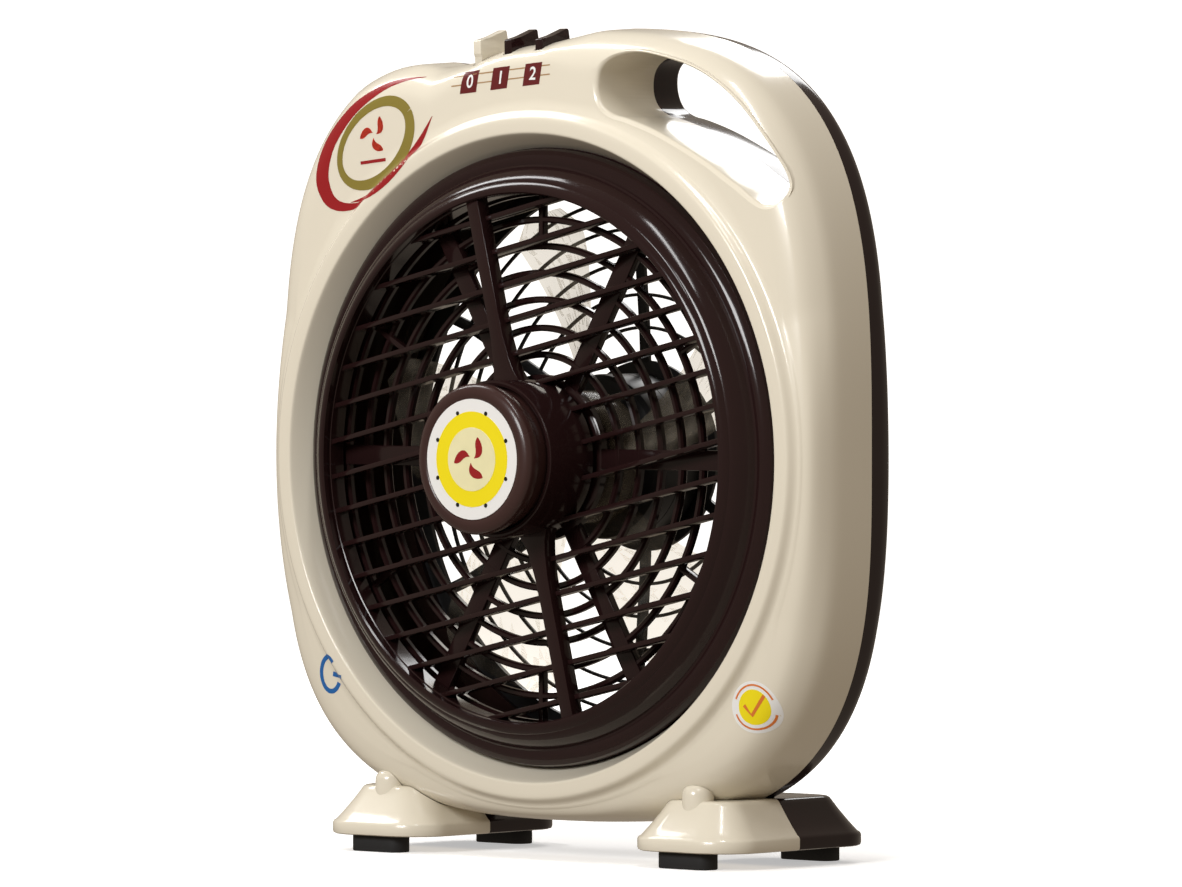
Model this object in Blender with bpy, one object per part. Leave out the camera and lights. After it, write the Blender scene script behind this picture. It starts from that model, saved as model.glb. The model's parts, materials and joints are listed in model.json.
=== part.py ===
"""Box fan with a free-turning louvre wheel, three piano keys and a carry slot.

Fan space: x to the viewer's right, y rearwards from the lip plane of the front housing,
z up from the fan axis, all in millimetres. The mesh is written in metres.
"""

import math

import bmesh
import bpy
import numpy as np

MM = 0.001

# ---- driving dimensions (mm) ------------------------------------------------
AXIS_HEIGHT = 241.0
MID_DEPTH = 41.8
GAP = 0.3

HALF_WIDTH = 221.0
HEIGHT_UP = 258.0
HEIGHT_DOWN = 219.0
POWER_UP = 3.2
POWER_DOWN = 3.1
SEAM_Y = 58.0
BACK_Y = 90.0
WALL = 3.0

LIP_INNER = 194.0
LIP_OUTER = 203.0
LIP_FOOT = 209.0
RECESS_RADIUS = 186.0
RECESS_Y = 19.0

KEY_XS = (-51.0, -26.0, -1.0)
KEY_WIDTH = 6.0
KEY_TRAVEL = 4.0

LOUVRE_BORE = 158.5
LOUVRE_TILT = math.radians(12.5)
SLAT_PITCH = 21.0
SLAT_COUNT = 15
SLAT_THICK = 2.4
SPINE_TILT = math.radians(14.0)

KNOB_FRONT = -48.0
BARREL_RADIUS = 47.0
BARREL_FRONT = -30.0

GUARD_RINGS = (62.0, 78.0, 95.0, 111.0, 127.0, 143.0, 160.0)
GRILLE_RINGS = (78.0, 98.0, 118.0, 138.0, 156.0)
BAR = 3.0

BLADE_COUNT = 5
BLADE_TIP = 150.0
HUB_RADIUS = 40.0
SHAFT_RADIUS = 4.0
MOTOR_RADIUS = 50.0

FOOT_X = 123.5
PAD_HEIGHT = 9.7

# The console dip at the top left: (x, how far the outline is lowered).
DIP = ((-158, 0), (-130, 3.5), (-110, 8), (-92, 14.5), (-62, 16), (-40, 11.5), (-24, 9), (0, 7), (16, 4), (36, 0))

# Housing sections: (distance in from the outline, y).
FRONT_SECTION = ((0, SEAM_Y), (3, 25.5), (6, 19), (10, 13), (15, 9), (24, 6.5))
BACK_SECTION = ((0, SEAM_Y + GAP), (0.6, 70), (3, 75), (8, 78), (18, 80.5))

# The carry slot, walked round once in (x, z).
SLOT = (
    (73.9, 203.0), (95.6, 195.9), (116.6, 186.6), (137.6, 176.1), (147.6, 169.8), (161.6, 161.6),
    (171.7, 154.6), (180.0, 150.4), (188.0, 151.0), (193.5, 155.5), (194.5, 161.5), (191.0, 169.5),
    (187.6, 174.9), (178.3, 187.9), (161.6, 206.8), (143.5, 221.0), (123.2, 231.8), (101.0, 238.0),
    (79.1, 242.2), (64.7, 240.5), (55.5, 236.0), (51.2, 229.0), (51.0, 218.0), (55.5, 209.5), (64.0, 204.8),
)

# Screw bosses that hold the two housings together: (angle in degrees, radius).
BOSSES = ((25, 226), (138, 238), (-45, 230), (-135, 230))


# ---- scene and materials ----------------------------------------------------
def clear_scene():
    for thing in list(bpy.data.objects):
        bpy.data.objects.remove(thing)


def material(name, colour, roughness, metallic=0.0, alpha=1.0):
    made = bpy.data.materials.new(name)
    made.use_nodes = True
    shader = made.node_tree.nodes["Principled BSDF"]
    shader.inputs["Base Color"].default_value = (*colour, 1.0)
    shader.inputs["Roughness"].default_value = roughness
    shader.inputs["Metallic"].default_value = metallic
    shader.inputs["Alpha"].default_value = alpha
    return made


def make(name, points, faces, paint, at=(0.0, 0.0, 0.0), helper=False):
    """One closed mesh from points in mm about `at`, a place in fan space."""
    mesh = bpy.data.meshes.new(name)
    mesh.from_pydata([tuple(float(c) * MM for c in p) for p in points], [], faces)
    work = bmesh.new()
    work.from_mesh(mesh)
    bmesh.ops.remove_doubles(work, verts=work.verts, dist=1e-7)
    bmesh.ops.recalc_face_normals(work, faces=work.faces)
    work.to_mesh(mesh)
    work.free()
    thing = bpy.data.objects.new(name, mesh)
    thing.location = (at[0] * MM, (at[1] - MID_DEPTH) * MM, (at[2] + AXIS_HEIGHT) * MM)
    if paint:
        mesh.materials.append(paint)
    if helper:
        thing.hide_render = True
        thing.display_type = "WIRE"
    bpy.context.scene.collection.objects.link(thing)
    return thing


def combine(thing, helper, operation):
    step = thing.modifiers.new(helper.name, "BOOLEAN")
    step.operation = operation
    step.solver = "EXACT"
    step.object = helper
    return thing


# ---- shape builders ---------------------------------------------------------
def ring_faces(loops, count, closed):
    faces = []
    for i in range(loops if closed else loops - 1):
        a = i * count
        b = (i + 1) % loops * count
        for j in range(count):
            k = (j + 1) % count
            faces.append((a + j, a + k, b + k, b + j))
    return faces


def capped(loops):
    """A closed body from point loops, each end closed by one flat face."""
    count = len(loops[0])
    points = [p for loop in loops for p in loop]
    faces = ring_faces(len(loops), count, False)
    last = (len(loops) - 1) * count
    faces.append(tuple(range(count)))
    faces.append(tuple(last + j for j in range(count)))
    return points, faces


def revolve(profile, segments):
    """A closed (radius, y) profile turned about the fan axis; radius 0 becomes one point."""
    points = []
    rows = []
    for radius, y in profile:
        if radius < 1e-6:
            rows.append([len(points)] * segments)
            points.append((0.0, y, 0.0))
            continue
        row = []
        for j in range(segments):
            turn = 2 * math.pi * j / segments
            row.append(len(points))
            points.append((radius * math.cos(turn), y, radius * math.sin(turn)))
        rows.append(row)
    faces = []
    for i in range(len(rows)):
        a = rows[i]
        b = rows[(i + 1) % len(rows)]
        for j in range(segments):
            k = (j + 1) % segments
            corner = list(dict.fromkeys((a[j], a[k], b[k], b[j])))
            if len(corner) > 2:
                faces.append(tuple(corner))
    return points, faces


def box(x0, x1, y0, y1, z0, z1):
    low = [(x0, y0, z0), (x1, y0, z0), (x1, y1, z0), (x0, y1, z0)]
    high = [(x, y, z1) for x, y, _ in low]
    return capped([low, high])


def rod(radius, y0, y1, segments=16):
    return revolve(((0, y0), (radius, y0), (radius, y1), (0, y1)), segments)


def tube(outer, inner, y0, y1, segments=16):
    return revolve(((inner, y0), (outer, y0), (outer, y1), (inner, y1)), segments)


def cells(radii, edges, filled, front, back):
    """A plate cut into ring-and-sector cells, built as one closed body."""
    count = len(edges(radii[0]))
    points = []
    for side in (front, back):
        for radius in radii:
            for turn in edges(radius):
                points.append((radius * math.cos(turn), side(radius), radius * math.sin(turn)))
    half = len(radii) * count

    def at(i, j, side):
        return side * half + i * count + j % count

    faces = []
    for i in range(len(radii) - 1):
        for j in range(count):
            if not filled(i, j):
                continue
            quad = ((i, j), (i, j + 1), (i + 1, j + 1), (i + 1, j))
            faces.append(tuple(at(a, b, 0) for a, b in quad))
            faces.append(tuple(at(a, b, 1) for a, b in reversed(quad)))
            around = ((i - 1, j), (i, j + 1), (i + 1, j), (i, j - 1))
            for side, (a, b) in enumerate(around):
                open_side = a < 0 or a > len(radii) - 2 or not filled(a, b % count)
                if open_side:
                    p = quad[side]
                    q = quad[(side + 1) % 4]
                    faces.append((at(*q, 0), at(*p, 0), at(*p, 1), at(*q, 1)))
    used = sorted({v for face in faces for v in face})
    order = {v: n for n, v in enumerate(used)}
    return [points[v] for v in used], [tuple(order[v] for v in face) for face in faces]


# ---- housing geometry -------------------------------------------------------
def dip_at(x):
    if x <= DIP[0][0] or x >= DIP[-1][0]:
        return 0.0
    return float(np.interp(x, [p[0] for p in DIP], [p[1] for p in DIP]))


def outline_radius(turn):
    """Distance from the fan axis to the housing outline, seen from the front."""
    across = abs(math.cos(turn))
    along = abs(math.sin(turn))
    up = math.sin(turn) > 0
    power = POWER_UP if up else POWER_DOWN
    height = HEIGHT_UP if up else HEIGHT_DOWN
    radius = ((across / HALF_WIDTH) ** power + (along / height) ** power) ** (-1 / power)
    if not up:
        return radius
    whole = radius
    for _ in range(12):
        radius = 0.5 * radius + 0.5 * (whole - dip_at(radius * math.cos(turn)) / max(along, 0.2))
    return radius


def edge_scale(turn):
    """The edge rounding shrinks where the face is narrow and along the console."""
    radius = outline_radius(turn)
    narrow = min(1.0, (radius - LIP_FOOT) / 28.0)
    x = radius * math.cos(turn)
    console = 0.0
    if math.sin(turn) > 0:
        console = float(np.interp(x, (-95, -65, 10, 36), (0, 1, 1, 0)))
    return narrow * (1.0 - 0.4 * console)


def face_y(turn, inset, section, flat):
    scale = edge_scale(turn)
    ds = [d * scale for d, _ in section]
    ys = [y for _, y in section]
    reach = outline_radius(turn) - LIP_FOOT
    return float(np.interp(inset, ds + [reach], ys + [flat]))


def angles():
    base = [math.radians(5.625 * j) for j in range(64)]
    extra = [math.radians(5.625 * (j + 0.5)) for j in range(14, 22)]
    return sorted(base + extra)


def station(kind, value, y, slack=0.0):
    """One loop round the housing: kind 'in' counts in from the outline, 'ring' is a radius."""
    loop = []
    for turn in angles():
        radius = value
        if kind == "in":
            radius = outline_radius(turn) - value * edge_scale(turn) - slack
        loop.append((radius * math.cos(turn), y, radius * math.sin(turn)))
    return loop


def housing(name, stations, paint):
    loops = [station(*row) for row in stations]
    points = [p for loop in loops for p in loop]
    return make(name, points, ring_faces(len(loops), len(loops[0]), True), paint)


def offset_slot(grow):
    points = np.array(SLOT)
    after = np.roll(points, -1, axis=0)
    before = np.roll(points, 1, axis=0)
    along = after - before
    normal = np.stack((along[:, 1], -along[:, 0]), axis=1)
    normal /= np.linalg.norm(normal, axis=1)[:, None]
    centre = points.mean(axis=0)
    if np.sum((points - centre) * normal) < 0:
        normal = -normal
    return points + grow * normal


def slot_sleeve(name, near, far):
    """The ring of wall round the slot, between two y functions of the place."""
    outer = offset_slot(2.5)
    inner = offset_slot(-0.8)
    loops = [
        [(x, near(x, z), z) for x, z in inner],
        [(x, near(x, z), z) for x, z in outer],
        [(x, far(x, z), z) for x, z in outer],
        [(x, far(x, z), z) for x, z in inner],
    ]
    points = [p for loop in loops for p in loop]
    return make(name, points, ring_faces(4, len(SLOT), True), None, helper=True)


def slot_cutter():
    flat = offset_slot(0.0)
    points, faces = capped([[(x, -12.0, z) for x, z in flat], [(x, 112.0, z) for x, z in flat]])
    return make("cut_slot", points, faces, None, helper=True)


def surface_y(x, z, section, flat):
    turn = math.atan2(z, x)
    return face_y(turn, outline_radius(turn) - math.hypot(x, z), section, flat)


def boss_place(angle, radius):
    turn = math.radians(angle)
    return radius * math.cos(turn), radius * math.sin(turn)


def housing_outer(grow):
    """The closed outer envelope of both housings, grown a little, to fit the feet to."""
    loops = [station("ring", 90.0, 1.0 - grow), station("ring", LIP_FOOT, 5.5 - grow)]
    rows = [(d, y) for d, y in reversed(FRONT_SECTION)] + [(d, y) for d, y in BACK_SECTION[1:]]
    for inset, y in rows:
        push = -grow if y < 40 else grow
        loops.append(station("in", inset, y + push, -grow))
    loops.append(station("ring", 200.0, 84.0 + grow))
    loops.append(station("ring", 90.0, 90.0 + grow))
    points, faces = capped(loops)
    return make("cut_housing", points, faces, None, helper=True)


def front_housing(paint, cut):
    rows = [("ring", RECESS_RADIUS, RECESS_Y), ("ring", LIP_INNER, 1.0), ("ring", LIP_INNER + 1, 0.0)]
    rows += [("ring", LIP_OUTER, 0.0), ("ring", LIP_FOOT, 5.5)]
    rows += [("in", d, y) for d, y in reversed(FRONT_SECTION)]
    rows += [("in", 0, SEAM_Y, WALL), ("in", 3, 27.0, WALL), ("in", 10, 16.5, 2.5), ("in", 24, 10.0)]
    rows += [("ring", 206.5, 8.8), ("ring", 202.0, 3.0), ("ring", 197.4, 3.0), ("ring", 189.4, RECESS_Y)]
    body = housing("front_housing", rows, paint)
    sleeve = slot_sleeve(
        "add_front_sleeve",
        lambda x, z: surface_y(x, z, FRONT_SECTION, 5.5) + 1.3,
        lambda x, z: SEAM_Y,
    )
    combine(body, sleeve, "UNION")
    for number, (angle, radius) in enumerate(BOSSES):
        x, z = boss_place(angle, radius)
        turn = math.radians(angle)
        inset = outline_radius(turn) - radius
        start = face_y(turn, inset - 5.0, FRONT_SECTION, 5.5) + 1.2
        points, faces = rod(5.0, start, SEAM_Y - 0.4, 12)
        combine(body, make(f"add_front_boss_{number}", points, faces, None, (x, 0, z), True), "UNION")
        points, faces = rod(1.8, 29.0, SEAM_Y + 2, 10)
        combine(body, make(f"cut_front_boss_{number}", points, faces, None, (x, 0, z), True), "DIFFERENCE")
    combine(body, cut, "DIFFERENCE")
    for number, x in enumerate(KEY_XS):
        half = KEY_WIDTH / 2 + 0.5
        points, faces = box(x - half, x + half, 12.2, 41.8, 228.0, 268.0)
        combine(body, make(f"cut_key_{number}", points, faces, None, helper=True), "DIFFERENCE")
    return body


def rear_housing(paint, cut):
    rows = [("ring", 178.0, 86.5), ("ring", 178.0, BACK_Y), ("ring", 191.0, BACK_Y), ("ring", LIP_FOOT, 83.5)]
    rows += [("in", d, y) for d, y in reversed(BACK_SECTION)]
    rows += [("in", 0, SEAM_Y + GAP, WALL), ("in", 1.5, 69.5, WALL), ("in", 8, 74.5, 1.5), ("in", 18, 77.2)]
    rows += [("ring", 207.5, 80.2), ("ring", 190.0, 86.5)]
    body = housing("rear_housing", rows, paint)
    sleeve = slot_sleeve(
        "add_rear_sleeve",
        lambda x, z: SEAM_Y + GAP,
        lambda x, z: surface_y(x, z, BACK_SECTION, 83.5) - 1.3,
    )
    combine(body, sleeve, "UNION")
    for number, (angle, radius) in enumerate(BOSSES):
        x, z = boss_place(angle, radius)
        turn = math.radians(angle)
        inset = outline_radius(turn) - radius
        stop = face_y(turn, inset - 7.0, BACK_SECTION, 83.5) - 1.2
        points, faces = rod(7.0, SEAM_Y + 0.6, stop, 12)
        combine(body, make(f"add_rear_boss_{number}", points, faces, None, (x, 0, z), True), "UNION")
        points, faces = revolve(((0, 50), (2.1, 50), (2.1, 66), (4.6, 66), (4.6, 99), (0, 99)), 12)
        combine(body, make(f"cut_rear_boss_{number}", points, faces, None, (x, 0, z), True), "DIFFERENCE")
    combine(body, cut, "DIFFERENCE")
    for number, (x, z) in enumerate(grille_screw_places()):
        points, faces = rod(1.8, 80.0, 99.0, 10)
        combine(body, make(f"cut_seat_{number}", points, faces, None, (x, 0, z), True), "DIFFERENCE")
    points, faces = rod(5.4, 70.0, 99.0, 16)
    combine(body, make("cut_inlet", points, faces, None, (INLET[0], 0, INLET[1]), True), "DIFFERENCE")
    return body


INLET = (-70.0, -197.0)


def grille_screw_places():
    return [boss_place(angle, 185.0) for angle in (15, 105, 195, 285)]


def housing_screws(paint):
    for number, (angle, radius) in enumerate(BOSSES, 1):
        x, z = boss_place(angle, radius)
        profile = ((0, 32), (1.4, 32), (1.4, 66.3), (3.9, 66.3), (3.9, 68), (2.6, 69), (0, 69))
        points, faces = revolve(profile, 10)
        make(f"housing_screw_{number}", points, faces, paint, (x, 0, z))


# ---- guard and grille -------------------------------------------------------
def spoke_edges(width, start, between, spokes=6, tie=0.0):
    """Sector edges that keep each spoke the same width at every radius."""
    step = 2 * math.pi / spokes

    def edges(radius):
        turns = []
        lean = min(math.asin(min(1.0, width / 2 / radius)), step / 5)
        thin = min(math.asin(min(1.0, tie / 2 / radius)), step / 20)
        for n in range(spokes):
            centre = start + n * step
            turns += [centre - lean, centre + lean]
            if not tie:
                for k in range(1, between):
                    turns.append(centre + lean + (step - 2 * lean) * k / between)
                continue
            middle = centre + step / 2
            for k in range(1, between):
                turns.append(centre + lean + (step / 2 - lean - thin) * k / between)
            turns += [middle - thin, middle + thin]
            for k in range(1, between):
                turns.append(middle + thin + (step / 2 - lean - thin) * k / between)
        return turns

    return edges


def front_guard(paint):
    radii = [5.3, 9.0, 12.0, 47.0, 50.0]
    solid = [True, True, True, True, False]
    for ring in GUARD_RINGS:
        radii += [ring - BAR / 2, ring + BAR / 2]
        solid += [True, False]
    solid[-1] = True
    radii += [165.0, 191.5]
    solid += [True]
    between = 2
    columns = 2 + 2 * between
    tie_column = 1 + between
    first_tie = radii.index(GUARD_RINGS[4] - BAR / 2)

    def filled(i, j):
        spoke = j % columns == 0
        tie = j % columns == tie_column and i >= first_tie
        return solid[i] or spoke or tie

    def front(radius):
        return float(np.interp(radius, (9, 12, 50, 161.5, 165), (10.5, 12.4, 12.4, 13.6, 19.4)))

    def back(radius):
        return float(np.interp(radius, (9, 12, 47, 50, 161.5, 165), (17.5, 15.6, 15.6, 17.8, 19.4, 23.0)))

    edges = spoke_edges(12.0, 0.0, between, tie=3.4)
    points, faces = cells(radii, edges, filled, front, back)
    return make("front_guard", points, faces, paint)


def rear_grille(paint):
    radii = [13.0, 40.0, 58.0]
    solid = [True, True, False]
    for ring in GRILLE_RINGS:
        radii += [ring - 1.2, ring + 1.2]
        solid += [True, False]
    radii += [168.0, 174.0, 191.0]
    solid += [True, True]

    def filled(i, j):
        return solid[i] or j % 5 == 0

    def front(radius):
        return float(np.interp(radius, (58, 78, 118, 156, 168, 174), (108, 107, 103.5, 98, 91.5, 90.4)))

    def back(radius):
        return front(radius) + 3.2

    points, faces = cells(radii, spoke_edges(7.0, math.pi / 6, 4), filled, front, back)
    body = make("rear_grille", points, faces, paint)
    for number, (x, z) in enumerate(grille_screw_places()):
        points, faces = rod(1.8, 80.0, 99.0, 10)
        combine(body, make(f"cut_flange_{number}", points, faces, None, (x, 0, z), True), "DIFFERENCE")
    for number, (x, z) in enumerate(motor_screw_places()):
        points, faces = rod(2.2, 100.0, 115.0, 10)
        combine(body, make(f"cut_plate_{number}", points, faces, None, (x, 0, z), True), "DIFFERENCE")
    return body


def motor_screw_places():
    return [boss_place(angle, 36.0) for angle in (90, 210, 330)]


def grille_screws(paint):
    for number, (x, z) in enumerate(grille_screw_places(), 1):
        profile = ((0, 82), (1.4, 82), (1.4, 93.9), (3.4, 93.9), (3.4, 95), (2.3, 96), (0, 96))
        points, faces = revolve(profile, 10)
        make(f"grille_screw_{number}", points, faces, paint, (x, 0, z))


# ---- louvre wheel and knob --------------------------------------------------
def slat_halves(z):
    """(inner end, outer end) x pairs at a height: one span, or two that stop in the barrel."""
    if abs(z) > BARREL_RADIUS:
        return [(-1.0, 1.0, 0.0)]
    return [(-1.0, 0.0, 45.2), (0.0, 1.0, 45.2)]


def slats():
    points = []
    faces = []
    lean = np.array([math.cos(LOUVRE_TILT), math.sin(LOUVRE_TILT)])
    rise = np.array([-lean[1], lean[0]])
    for n in range(SLAT_COUNT):
        z = (n - (SLAT_COUNT - 1) / 2) * SLAT_PITCH
        low = z - SLAT_THICK / 2
        high = z + SLAT_THICK / 2
        reach_low = math.sqrt(159.8**2 - low**2)
        reach_high = math.sqrt(159.8**2 - high**2)
        for left, right, hub in slat_halves(z):
            stop_low = math.sqrt(max(hub**2 - low**2, 0.0))
            stop_high = math.sqrt(max(hub**2 - high**2, 0.0))
            x_low = (left * reach_low if left else stop_low, right * reach_low if right else -stop_low)
            x_high = (left * reach_high if left else stop_high, right * reach_high if right else -stop_high)
            flat = ((x_low[0], low), (x_low[1], low), (x_high[1], high), (x_high[0], high))
            turned = [a * lean + b * rise for a, b in flat]
            base = len(points)
            loops = [[(p[0], y, p[1]) for p in turned] for y in (-1.0, 9.4)]
            more, sides = capped(loops)
            points += more
            faces += [tuple(base + v for v in face) for face in sides]
    return points, faces


def spine():
    """Two flared bars from the barrel to the ring, one up and one down."""
    points = []
    faces = []
    out = np.array([-math.sin(SPINE_TILT), math.cos(SPINE_TILT)])
    side = np.array([out[1], -out[0]])
    for sign in (1.0, -1.0):
        base = len(points)
        loops = []
        for reach, half in ((44.0, 11.0), (60.0, 6.2), (80.0, 4.6), (159.4, 4.6)):
            middle = sign * reach * out
            left = middle - half * side
            right = middle + half * side
            loops.append([
                (left[0], -6.0, left[1]), (right[0], -6.0, right[1]),
                (right[0], 4.0, right[1]), (left[0], 4.0, left[1]),
            ])
        more, sides = capped(loops)
        points += more
        faces += [tuple(base + v for v in face) for face in sides]
    return points, faces


def louvre_wheel(paint):
    ring = (
        (185.5, 18), (185.2, 6), (180.5, 1), (179, 0), (176, 1), (174, -3), (170.5, -9), (165, -12.6),
        (161, -15), (158.5, -14.3), (158.5, 10), (161, 10), (161, -11.8), (168.6, -7), (172, -0.8),
        (174.8, 3.6), (179.4, 3.4), (182.8, 7.4), (183, 18),
    )
    body = make("louvre_wheel", *revolve(ring, 40), paint)
    combine(body, make("add_slats", *slats(), None, helper=True), "UNION")
    combine(body, make("add_spine", *spine(), None, helper=True), "UNION")
    hub = (
        (5.3, -12), (9, -12), (9, -10.5), (43.4, -10.5), (43.4, -29), (44.4, -30), (46, -30), (47, -29),
        (47, 8), (44.6, 8), (44.6, -7.6), (9, -7.6), (9, 7.5), (5.3, 7.5),
    )
    combine(body, make("add_hub", *revolve(hub, 24), None, helper=True), "UNION")
    return body


def louvre_knob(paint):
    profile = (
        (0, -47.6), (36.4, -47.6), (39.5, -48), (42.6, -47.2), (45, -44.6), (45, -39), (44.2, -38), (42, -37.6),
        (42, -22), (39.6, -22), (39.6, -35), (41.6, -40), (40, -44.6), (0, -44.6),
    )
    return make("louvre_knob", *revolve(profile, 24), paint)


def louvre_small_parts(steel, dark):
    pin = ((0, -20), (2.3, -20), (2.3, -12.6), (5, -12.6), (5, 17.4), (4.2, 18.2), (0, 18.2))
    make("louvre_axle", *revolve(pin, 16), steel)
    make("louvre_washer", *tube(9.5, 2.7, -13.6, -12.8), steel)
    nut = ((3.1, -18), (5.6, -18), (6.2, -17.4), (6.2, -13.9), (3.1, -13.9))
    make("louvre_nut", *revolve(nut, 6), steel)
    make("knob_badge", *rod(36.0, -48.4, -47.9, 32), dark)


# ---- impeller and motor -----------------------------------------------------
def blade(turn):
    """One swept, twisted blade, from inside the hub wall to the tip."""
    loops = []
    for step in range(5):
        part = step / 4
        radius = HUB_RADIUS - 1.5 + (BLADE_TIP - HUB_RADIUS + 1.5) * part
        chord = 0.62 - 0.06 * part
        sweep = turn + 0.30 * part
        loop = []
        for side in (0.0, 1.6):
            row = []
            for k in range(4):
                along = k / 3 - 0.5
                angle = sweep + chord * along
                y = 45.0 + (15.0 - 2.0 * part) * 2 * along + 3.0 * (0.25 - along * along) * 4 * part
                row.append((radius * math.cos(angle), y + side, radius * math.sin(angle)))
            loop += row if side == 0.0 else row[::-1]
        loops.append(loop)
    return capped(loops)


def impeller(paint):
    cup = (
        (4.3, 28), (33, 28), (38, 30), (40, 34), (40, 61.5), (37.6, 61.5), (37.6, 35), (36, 32.5), (32, 31),
        (9, 31), (9, 58), (4.3, 58),
    )
    body = make("impeller", *revolve(cup, 24), paint)
    for n in range(BLADE_COUNT):
        points, faces = blade(2 * math.pi * n / BLADE_COUNT + 0.2)
        combine(body, make(f"add_blade_{n}", points, faces, None, helper=True), "UNION")
    return body


def motor(steel, dark, copper):
    r = SHAFT_RADIUS
    shaft = ((0, 21.2), (3.2, 21.2), (3.2, 27.6), (r, 27.6), (r, 105.4), (3, 106.4), (0, 106.4))
    make("motor_shaft", *revolve(shaft, 16), steel)
    nut = ((0, 19.6), (6, 19.6), (11.5, 21.4), (12.5, 24), (12.5, 27.6), (3.5, 27.6), (3.5, 20.8), (0, 20.8))
    make("blade_nut", *revolve(nut, 12), dark)
    make("rotor", *tube(27, r + GAP, 76, 97), steel)
    make("stator_core", *tube(45.4, 28, 77, 96), steel)
    make("winding_front", *tube(42.6, 30, 71, 76.6), copper)
    make("winding_rear", *tube(43, 30, 96.4, 101), copper)
    make("bearing_front", *tube(9, r + GAP, 67.4, 73, 20), steel)
    make("bearing_rear", *tube(9, r + GAP, 98.5, 103.4, 20), steel)
    front = (
        (5, 64), (44, 64), (48.5, 66), (MOTOR_RADIUS, 70), (MOTOR_RADIUS, 85.6), (46.8, 85.6), (46.8, 70.6),
        (44.5, 68.3), (43, 67), (12, 67), (12, 73), (9.3, 73), (9.3, 66.8), (5, 66.8),
    )
    make("motor_front_shield", *revolve(front, 20), dark)
    rear = (
        (0, 107.2), (44, 107.2), (48.5, 105.6), (MOTOR_RADIUS, 102), (MOTOR_RADIUS, 86.2), (46.8, 86.2),
        (46.8, 101), (44.5, 103.3), (43, 104), (12, 104), (12, 98.5), (9.3, 98.5), (9.3, 104), (8, 106.7), (0, 106.7),
    )
    body = make("motor_rear_shield", *revolve(rear, 20), dark)
    for number, (x, z) in enumerate(motor_screw_places()):
        points, faces = rod(1.8, 101.0, 110.0, 10)
        combine(body, make(f"cut_shield_{number}", points, faces, None, (x, 0, z), True), "DIFFERENCE")
        profile = ((0, 102), (1.4, 102), (1.4, 111.5), (3.6, 111.5), (3.6, 113), (2.4, 114), (0, 114))
        make(f"motor_screw_{number + 1}", *revolve(profile, 10), steel, (x, 0, z))


# ---- keys and electrics -----------------------------------------------------
def key(name, x, paint):
    side = ((15, 230), (15, 241), (13, 243), (13, 252.5), (16, 254), (36, 258), (39.5, 258.2), (41, 251), (39, 249), (39, 230))
    half = KEY_WIDTH / 2
    rest = (x, 27.0, 244.0)
    loops = [[(dx, y - rest[1], z - rest[2]) for y, z in side] for dx in (-half, half)]
    return make(name, *capped(loops), paint, rest)


def electrics(dark, steel, pale):
    make("switch_body", *box(-62, 10, 20, 38, 208, 225.4), dark)
    make("capacitor", *box(-118, -86, 27, 47, 196, 212), dark)
    make("terminal_block", *box(-18, 18, 30, 44, -213, -200), pale)
    profile = ((0, 74), (5.1, 74), (5.1, 88.4), (8, 88.4), (8, 91), (5, 99), (0, 99))
    make("cord_inlet", *revolve(profile, 16), dark, (INLET[0], 0, INLET[1]))


# ---- feet -------------------------------------------------------------------
def rounded(x0, x1, y0, y1, corner, z):
    loop = []
    for cx, cy, start in (
        (x1 - corner, y1 - corner, 0), (x0 + corner, y1 - corner, 90),
        (x0 + corner, y0 + corner, 180), (x1 - corner, y0 + corner, 270),
    ):
        for k in range(4):
            turn = math.radians(start + 30 * k)
            loop.append((cx + corner * math.cos(turn), cy + corner * math.sin(turn), z))
    return loop


def foot_loops(side):
    """A foot about its own middle, from the flange up to the deck."""
    rows = ((-41.0, 41.0, 26.0, -231.0, -7.0), (-42.5, 42.5, 27.0, -229.0, -8.0), (-42.5, 42.5, 27.0, -223.5, -8.0))
    rows += ((-40.5, 40.5, 26.0, -222.0, -6.0), (-31.0, 31.0, 20.0, -209.0, 3.5), (-26.0, 26.0, 16.0, -202.6, 8.0))
    rows += ((-23.5, 23.5, 14.5, -201.0, 10.5),)
    loops = []
    for x0, x1, corner, z, front in rows:
        loops.append(rounded(x0, x1, front, 124.0 - front, corner, z))
    return loops


def foot(side, front, paint, cut):
    word = "left" if side < 0 else "right"
    name = f"foot_{'front' if front else 'rear'}_{word}"
    x = side * FOOT_X
    body = make(name, *capped(foot_loops(side)), paint, (x, 0, 0))
    ys = (SEAM_Y, 200.0) if front else (-100.0, SEAM_Y + GAP)
    block = make(f"cut_half_{name}", *box(-90, 90, *ys, -260, -150), None, (x, 0, 0), True)
    if front:
        combine(body, dome(word, x), "UNION")
    combine(body, block, "DIFFERENCE")
    combine(body, cut, "DIFFERENCE")
    return body


def dome(word, x):
    """The small round boss on the deck, against the housing."""
    profile = ((0, -204), (9.6, -204), (9.6, -196.5), (8.4, -193.4), (5.2, -191.4), (0, -190.8))
    points, faces = revolve(profile, 16)
    upright = [(px, 21.0 + pz, py) for px, py, pz in points]
    return make(f"add_dome_{word}", upright, faces, None, (x, 0, 0), True)


def pads(paint):
    for side, word in ((-1, "left"), (1, "right")):
        for y, place in ((6.0, "front"), (118.0, "rear")):
            low = rounded(-20, 20, -8, 8, 3.0, -AXIS_HEIGHT)
            high = rounded(-20, 20, -8, 8, 3.0, -AXIS_HEIGHT + PAD_HEIGHT)
            make(f"pad_{place}_{word}", *capped([low, high]), paint, (side * FOOT_X, y, 0))


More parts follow.
